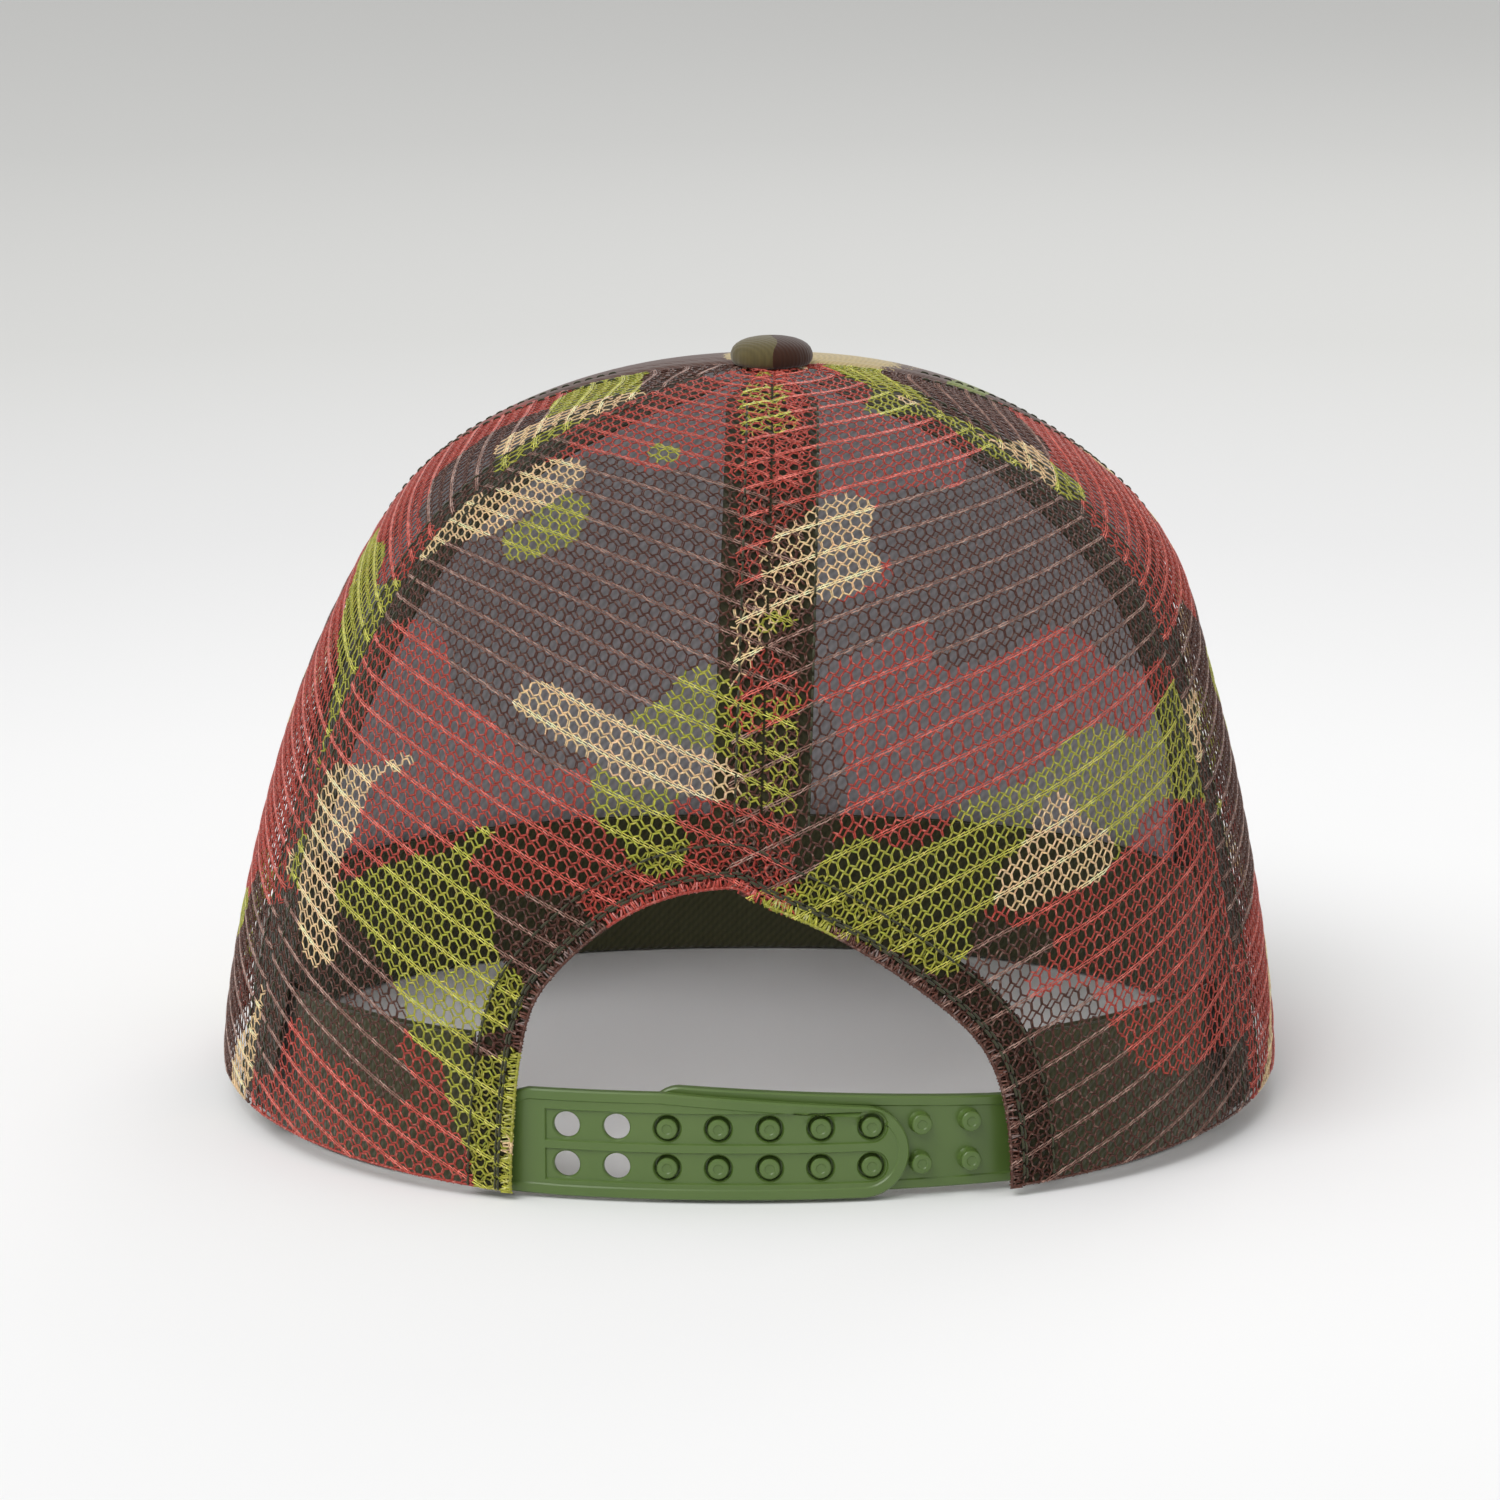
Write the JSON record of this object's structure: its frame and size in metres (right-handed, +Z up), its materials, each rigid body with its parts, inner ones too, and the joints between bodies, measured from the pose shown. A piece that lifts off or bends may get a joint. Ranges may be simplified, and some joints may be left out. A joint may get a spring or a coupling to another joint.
{
  "type": "trucker mesh cap",
  "caption": "Trucker cap with a woven front panel, open net rear panels, curved fabric visor, covered button and a two-strap snap closure.",
  "frame": {"origin": "centre of the head opening on the base plane that the sweatband's lower edge lies in", "axes": "+Z up towards the button, +Y towards the visor, X across the head with the peg strap on +X and the hole strap on -X"},
  "size_m": [0.2, 0.2663, 0.1409],
  "materials": {
    "camo_weave": "woven cotton twill in a four-colour patch print",
    "lining": "soft grey foam-backed knit",
    "net": "open polyester net in a four-colour patch print",
    "tape": "matte woven tape",
    "thread": "spun polyester thread",
    "metal": "plain pressed metal",
    "board": "stiff moulded sheet",
    "under_weave": "plain dark olive twill",
    "band": "ribbed dark olive cotton",
    "band_core": "white non-woven strip",
    "strap": "slightly translucent satin moulding"
  },
  "bodies": {
    "crown": {"front_panel": "camo_weave", "front_lining": "lining", "mesh_rear_left": "net", "mesh_rear_right": "net", "mesh_side_left": "net", "mesh_side_right": "net", "tape_center_back": "tape", "tape_side_left": "tape", "tape_side_right": "tape", "tape_front_left": "tape", "tape_front_right": "tape", "arch_binding": "tape", "seam_stitching": "thread", "arch_stitching": "thread", "button_cover": "camo_weave", "button_shell": "metal", "button_rivet": "metal", "visor_board": "board", "visor_top_cover": "camo_weave", "visor_under_cover": "under_weave", "visor_stitching": "thread", "sweatband": "band", "sweatband_core": "band_core", "hole_strap_root": "strap", "peg_strap_root": "strap"},
    "hole_strap": {"hole_strap": "strap"},
    "peg_strap": {"peg_strap": "strap"}
  },
  "joints": [
    {"name": "hole_strap_peel", "type": "hinge", "parent": "crown", "child": "hole_strap", "pos_m": [-0.0408, -0.09073, 0.01025], "axis": [0, 0, -1], "range_deg": [0, 75]},
    {"name": "peg_strap_flex", "type": "hinge", "parent": "crown", "child": "peg_strap", "pos_m": [0.0425, -0.08605, 0.0101], "axis": [0, 0, -1], "range_deg": [0, 30]}
  ]
}
